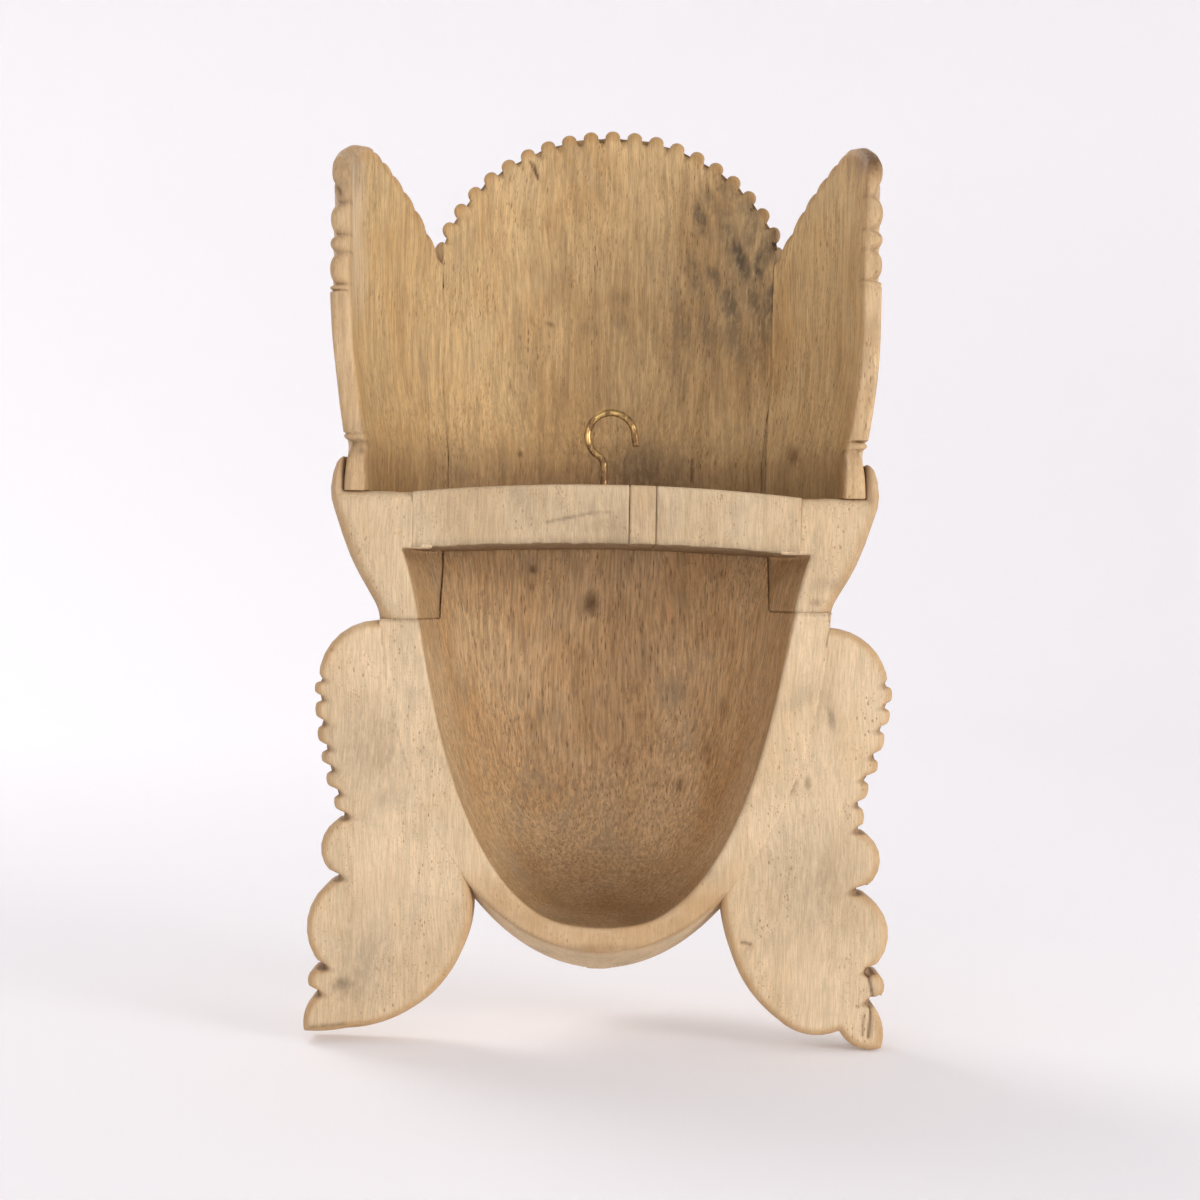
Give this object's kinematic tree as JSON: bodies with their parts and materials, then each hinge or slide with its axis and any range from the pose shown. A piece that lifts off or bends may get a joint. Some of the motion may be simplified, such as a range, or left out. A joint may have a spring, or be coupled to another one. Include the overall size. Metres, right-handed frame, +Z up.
{
  "type": "carved wooden wall mask",
  "caption": "Carved wooden wall mask with a hollow back, a lobed crown, scalloped side wings and a turning brass hook to hang it by.",
  "frame": {"origin": "middle of the brow shelf's flat back face, in the plane that lies against the wall", "axes": "+Z up along the mask's height, +Y out of the back towards the wall, +X to the wearer's left; the carved face looks along -Y"},
  "size_m": [0.1951, 0.1144, 0.3246],
  "materials": {
    "face_wood": "dry carved wood, unvarnished, browner inside the hollow",
    "shelf_wood": "dry sawn wood, pale",
    "slip_wood": "dry sawn wood, pale, slightly darker than its neighbours",
    "temple_wood": "dry sawn wood with rounded, warmer edges",
    "crown_wood": "dry carved wood, warm tan with dark pores",
    "wing_wood": "dry sawn wood with warm, rounded, scalloped edges",
    "brass_wire": "bent wire with a brown patina and bright worn spots"
  },
  "bodies": {
    "mask": {"face_shell": "face_wood", "brow_shelf_left": "shelf_wood", "brow_shelf_slip": "slip_wood", "brow_shelf_right": "shelf_wood", "left_temple": "temple_wood", "right_temple": "temple_wood", "crown_centre_lobe": "crown_wood", "crown_left_lobe": "crown_wood", "crown_right_lobe": "crown_wood", "left_wing": "wing_wood", "right_wing": "wing_wood"},
    "hook": {"hanging_hook": "brass_wire"}
  },
  "joints": [
    {"name": "hook_turn", "type": "hinge", "parent": "mask", "child": "hook", "pos_m": [0.0012, -0.008, 0.012], "axis": [0, 0, 1], "range_deg": [-90, 90]}
  ]
}
